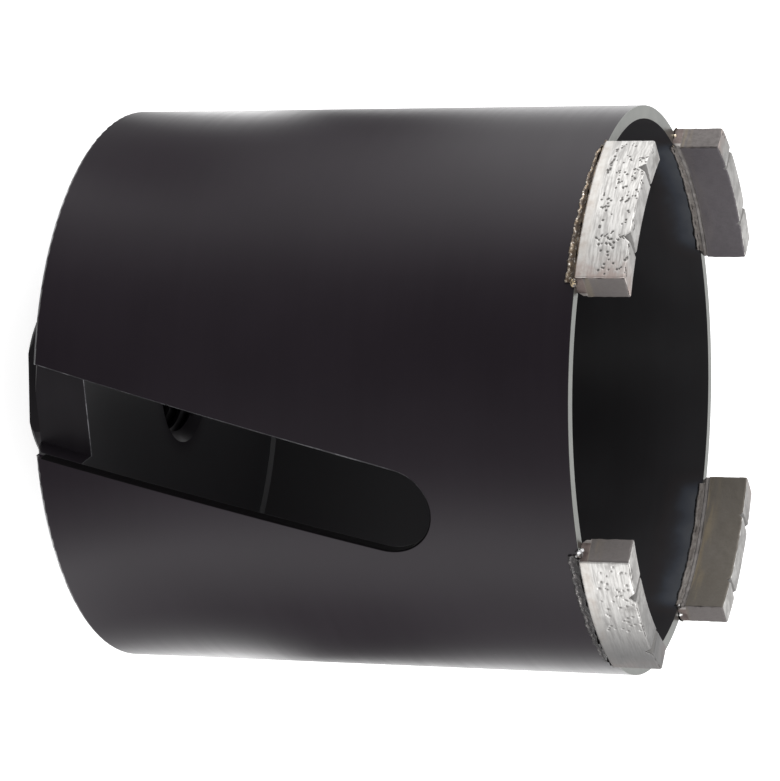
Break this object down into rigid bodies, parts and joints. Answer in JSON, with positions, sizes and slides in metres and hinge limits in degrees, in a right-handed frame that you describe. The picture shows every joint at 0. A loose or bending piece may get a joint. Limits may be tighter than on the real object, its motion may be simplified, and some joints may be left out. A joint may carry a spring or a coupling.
{
  "type": "diamond core bit",
  "caption": "Short dry core bit: a black steel cup with slanted open slots, a tapped round hub with two spanner flats, and notched diamond segments welded round its mouth.",
  "frame": {"origin": "centre of the hub's rear face", "axes": "+Z along the bit's axis from the hub to the cutting end; one clearing slot faces -Y"},
  "size_m": [0.08, 0.08, 0.0965],
  "materials": {
    "barrel_paint": "satin black paint",
    "hub_paint": "satin black paint",
    "sintered_metal": "ground and pitted"
  },
  "bodies": {
    "root": {"barrel": "barrel_paint", "end_plate": "hub_paint", "segment_1": "sintered_metal", "segment_2": "sintered_metal", "segment_3": "sintered_metal", "segment_4": "sintered_metal"}
  },
  "joints": []
}
